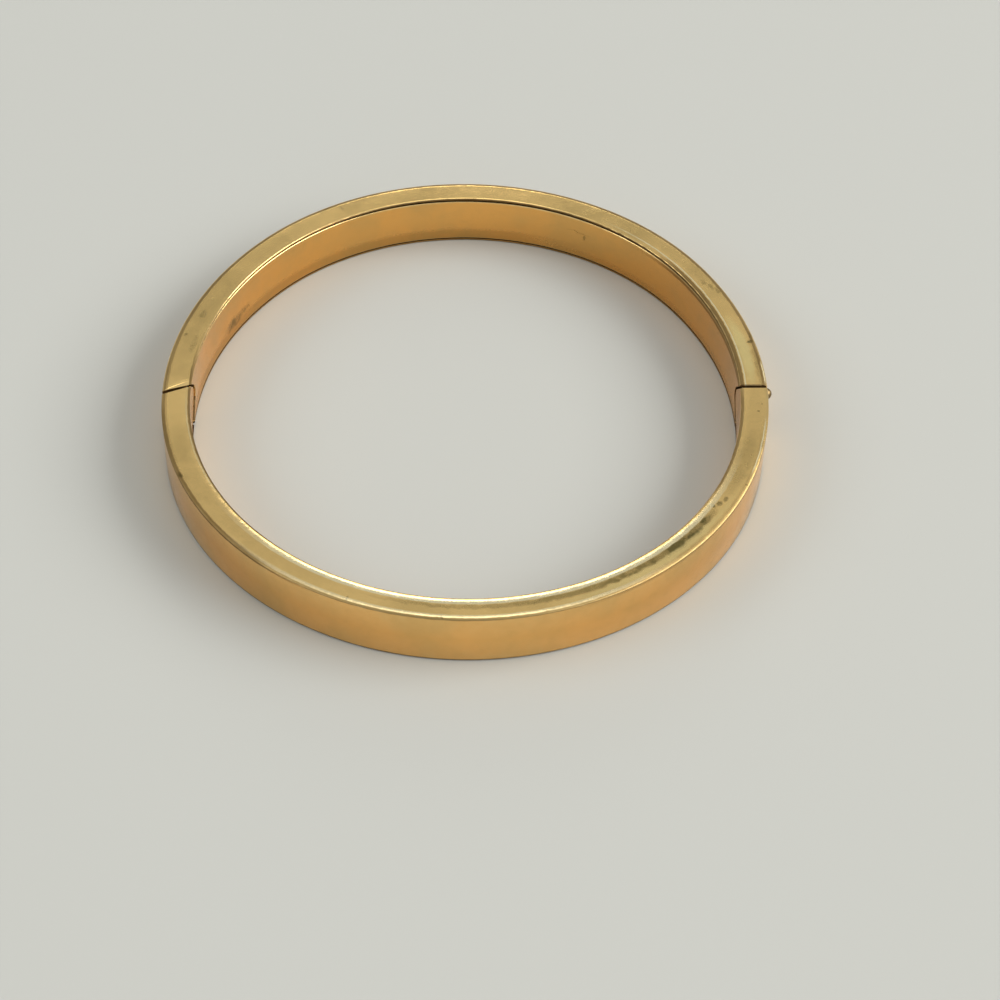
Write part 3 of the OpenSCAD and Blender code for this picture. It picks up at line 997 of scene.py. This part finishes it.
past_join = clasp_join.y + CUT
mouth_x = knob_place.x - BAND_T / 2 + WALL
mouth = clasp_room("mouth", mouth_x, BAND_T - 2 * WALL, past_join, TONGUE_W / 2 + MOUTH_PLAY)
slot = clasp_room("slot", knob_place.x, 2 * CUT, knob_place.y, KNOB_R + SLOT_PLAY)
along_x = axes_at((0, 1, 0), (0, 0, 1), (1, 0, 0), (0, knob_place.y, MIDDLE_Z))
slot_end = block("slot end", circle_points(Vector((0, 0)), KNOB_R + SLOT_PLAY), knob_place.x,
                 knob_place.x + 2 * CUT, along_x)
slot = combine(slot, slot_end, "UNION")
for tool in (mouth, slot):
    back_shell = without(back_shell, tool)

hole_x = knob_place.x - FOLD_R - STRIP_PLAY
strip_hole = clasp_room("strip hole", hole_x, TONGUE_T + 2 * STRIP_PLAY, past_join,
                        TONGUE_W / 2 + STRIP_PLAY)
front_shell = without(front_shell, strip_hole)
print("clasp cut:", len(back_shell.data.polygons), len(front_shell.data.polygons))

# %% [markdown]
# ## The inner strips
# The open side of each channel is closed by a flat strip, which lies between the channel's two lips.
# It was cut out with its tab or notch and bent to the hoop. Such a strip is a grid: each row runs
# along the band at its own height and ends where the outline is at that height. It is a little
# narrower than its seat, so the soldered seam stays as a fine groove under the edge, and its faces
# carry painted shade that makes it dark. The front strip is filed back at its tabs, so the edges of
# the notches stand over them. These edges carry painted shade and show dark.

# %% Rows of a strip
SEAM = 0.20
FOOT_SEAM = 0.05
STRIP_LOW = {half: LIP[half] + FOOT_SEAM for half in LIP}
STRIP_HIGH = {half: BAND_H - LIP[half] - SEAM for half in LIP}
STRIP_INNER_R = 0.12
STRIP_OUTER_R = 0.02
STRIP_CHAMFER = 0.05
ROUND_STEPS = 5
FLAT_ROWS = 44
SEAT_PLAY = 0.01
TAB_SINK = {"hinge": 0.13, "clasp": 0.06}
SINK_LENGTH = 3.0
END_ZONE = math.radians(6.5)
END_COLUMNS = 16


def edge_drop(distance, radius):
    """How far a rounded edge falls back, this far from the edge."""
    if distance >= radius:
        return 0.0
    return radius - math.sqrt(radius ** 2 - (radius - distance) ** 2)


def strip_rows(half):
    """The heights of a strip's rows, closer together in its rounded edges."""
    edge = [STRIP_INNER_R * (1 - math.cos(math.pi / 2 * i / ROUND_STEPS)) for i in range(ROUND_STEPS)]
    low, high = STRIP_LOW[half], STRIP_HIGH[half]
    flat_low, flat_high = low + STRIP_INNER_R, high - STRIP_INNER_R
    flat = [flat_low + (flat_high - flat_low) * i / FLAT_ROWS for i in range(FLAT_ROWS + 1)]
    return [low + e for e in edge] + flat + [high - e for e in reversed(edge)]


def tab_sink(half, place):
    """How far the front strip's inner face lies back at this place. It is deepest at the tabs."""
    if half == 1:
        return 0.0
    share = min(1.0, max(0.0, (place.y - middle.y) / SINK_LENGTH + 1))
    deepest = TAB_SINK["hinge" if place.x < middle.x else "clasp"]
    return deepest * share * share * (3 - 2 * share)


def end_columns(end, core_end, chamfer_turn):
    """The bearings from a row's end to its evenly stepped middle part."""
    steps = [end + (core_end - end) * (i + 1) / END_COLUMNS for i in range(END_COLUMNS - 1)]
    return [end, end + chamfer_turn, *steps]


def row_bearings(half, start, stop):
    """The bearings of a row's points, closer together near its ends."""
    core_start = (0 if half == 1 else math.pi) + END_ZONE
    core_stop = (math.pi if half == 1 else math.tau) - END_ZONE
    chamfer_turn = STRIP_CHAMFER / (SIDE_R - BAND_T)
    steps = math.ceil((core_stop - core_start) / RING_STEP)
    core = [core_start + (core_stop - core_start) * i / steps for i in range(steps + 1)]
    tail = end_columns(stop, core_stop, -chamfer_turn)
    return end_columns(start, core_start, chamfer_turn) + core + tail[::-1]


def strip_row(half, z, side_of_strip):
    """The points of one row, on the strip's inner or outer face."""
    distance = min(z - STRIP_LOW[half], STRIP_HIGH[half] - z)
    inner = side_of_strip == "inner"
    if inner:
        depth = BAND_T - edge_drop(distance, STRIP_INNER_R)
    else:
        depth = BAND_T - STRIP_T + SEAT_PLAY + edge_drop(distance, STRIP_OUTER_R)
    first, last = ("clasp", "hinge") if half == 1 else ("hinge", "clasp")
    start = strip_end(first, half, depth, z)
    stop = strip_end(last, half, depth, z) + (math.tau if half == -1 else 0)
    bearings = row_bearings(half, start, stop)
    points = []
    for index, bearing in enumerate(bearings):
        back_off = 0
        if inner:
            at_end = index in (0, len(bearings) - 1)
            back_off = STRIP_CHAMFER * at_end + tab_sink(half, on_hoop(bearing, depth))
        place = on_hoop(bearing, depth - back_off)
        points.append((place.x, place.y, z))
    return points


print("heights of the strips:", STRIP_LOW, STRIP_HIGH)

# %% Make the inner strips


def inner_strip(name, half):
    """One half's inner strip, as a closed mesh."""
    rows = strip_rows(half)
    faces = {side: [strip_row(half, z, side) for z in rows] for side in ("inner", "outer")}
    columns = len(faces["inner"][0])
    shape = bmesh.new()
    grid = {side: [[shape.verts.new(p) for p in row] for row in faces[side]] for side in faces}
    for j in range(len(rows) - 1):
        for i in range(columns - 1):
            for side in grid:
                g = grid[side]
                shape.faces.new((g[j][i], g[j][i + 1], g[j + 1][i + 1], g[j + 1][i]))
    inner, outer = grid["inner"], grid["outer"]
    for j in (0, len(rows) - 1):
        for i in range(columns - 1):
            shape.faces.new((inner[j][i], inner[j][i + 1], outer[j][i + 1], outer[j][i]))
    for i in (0, columns - 1):
        for j in range(len(rows) - 1):
            shape.faces.new((inner[j][i], inner[j + 1][i], outer[j + 1][i], outer[j][i]))
    return piece_from(shape, name, strip_gold)


back_strip = inner_strip("back_strip", 1)
front_strip = inner_strip("front_strip", -1)
print("strips:", len(back_strip.data.polygons), len(front_strip.data.polygons), "faces")

# %% [markdown]
# ## Where each point lies on the band
# The marks, seam lines and painted light of the gold are placed by bearing, depth and height,
# because that is how they lie on the metal. Every point gets these three numbers. Every face also
# gets a share of painted shade: the faces in the hollow and in the seam get it fully and the cut
# edges at the joins mostly, so the gaps between the parts look dark.

# %% Numbers for every point and face
# How much painted shade a cut edge of a channel and a notch edge of a strip get.
SAW_CUT_SHARE = 0.75
NOTCH_SHARE = 0.85
SETTLING_ROUNDS = 3
# Limits of the parts of a face's normal that tell a cut, a strip's inner face and its seam.
CUT_FACING = 0.7
INNER_FACING = -0.9
SEAM_FACING = 0.3
HOLLOW_DEPTHS = (0.3, BAND_T - 0.1)
HOLLOW_HEIGHTS = (0.25, BAND_H - 0.25)


def place_on_band(x, y, half):
    """The bearing in degrees and the depth in mm of a point of one half."""
    bearing = math.atan2(y, x)
    for _ in range(SETTLING_ROUNDS):
        centre, radius = arc_facing(bearing)
        away = Vector((x, y)) - centre
        bearing = math.atan2(away.y, away.x)
    degrees = math.degrees(bearing)
    start = -90 if half == 1 else 90
    return (degrees - start) % 360 + start, radius - away.length


def painted_shade_share(polygon, half, strip):
    """The painted shade of a face: 1 in the hollow or in a seam, less for a cut edge, 0 for the rest."""
    centre, normal = polygon.center, polygon.normal
    degrees, depth = place_on_band(centre.x, centre.y, half)
    turn = math.radians(degrees)
    outward = normal.x * math.cos(turn) + normal.y * math.sin(turn)
    along = abs(normal.y * math.cos(turn) - normal.x * math.sin(turn))
    if strip:
        flat = STRIP_LOW[half] + STRIP_INNER_R < centre.z < STRIP_HIGH[half] - STRIP_INNER_R
        near_join = abs(centre.y - middle.y) < TAB_REACH + JOIN_Y
        end = flat and outward > INNER_FACING and near_join
        return 1.0 if outward > SEAM_FACING else NOTCH_SHARE * end
    if along > CUT_FACING:
        return SAW_CUT_SHARE
    to_middle = MIDDLE_Z - centre.z
    toward_middle = normal.z * to_middle > CUT_FACING * abs(to_middle)
    deep_enough = HOLLOW_DEPTHS[0] < depth < HOLLOW_DEPTHS[1]
    off_the_faces = HOLLOW_HEIGHTS[0] < centre.z < HOLLOW_HEIGHTS[1]
    return float(toward_middle or (deep_enough and off_the_faces))


def number(piece, half, strip):
    """Add the numbers to one piece's mesh, which is still in mm."""
    mesh = piece.data
    places = []
    for vertex in mesh.vertices:
        x, y, z = vertex.co
        places += (*place_on_band(x, y, half), z)
    kinds = [painted_shade_share(polygon, half, strip) for polygon in mesh.polygons]
    mesh.attributes.new("band_place", "FLOAT_VECTOR", "POINT").data.foreach_set("vector", places)
    mesh.attributes.new("inside", "FLOAT", "FACE").data.foreach_set("value", kinds)


for piece, half, strip in ((back_shell, 1, False), (back_strip, 1, True),
                           (front_shell, -1, False), (front_strip, -1, True)):
    number(piece, half, strip)
    print(piece.name, len(piece.data.vertices), "points,", len(piece.data.polygons), "faces")
for side, point in (("hinge", hinge_join), ("clasp", clasp_join)):
    print(side, "join:", place_on_band(point.x, point.y, 1))

# %% [markdown]
# ## Finishing the pieces
# The pieces were made in millimetres. Each is brought to metres in its mesh, so that its object
# stays unturned and unscaled at the origin, and is shaded smooth except at its real edges. Then each
# rides on its body, and the channels stand for the two plain halves of the packed part.

# %% Finish, name and attach the halves
SHARP = math.radians(32)


def finish(piece, name, body):
    """Metres, smooth shading, a name and a body."""
    piece.name = name
    piece.data.name = name
    piece.data.transform(Matrix.Scale(MM, 4))
    for polygon in piece.data.polygons:
        polygon.use_smooth = True
    piece.data.set_sharp_from_angle(angle=SHARP)
    piece.data.update()
    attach(piece, body)


finish(back_shell, "back_channel", "back_half")
finish(back_strip, "back_inner_strip", "back_half")
finish(front_shell, "front_channel", "front_half")
finish(front_strip, "front_inner_strip", "front_half")
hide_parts("back_half")
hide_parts("front_half")

# %% Dress the pin, the tongue and the thumb piece
dress = {"hinge_pin": drawn_brass, "clasp_tongue": drawn_brass, "thumb_piece": tarnished_gold}
for node, metal in dress.items():
    for slot in frame["nodes"][node].material_slots:
        slot.material = metal
    print(node, "dressed in", metal.name)
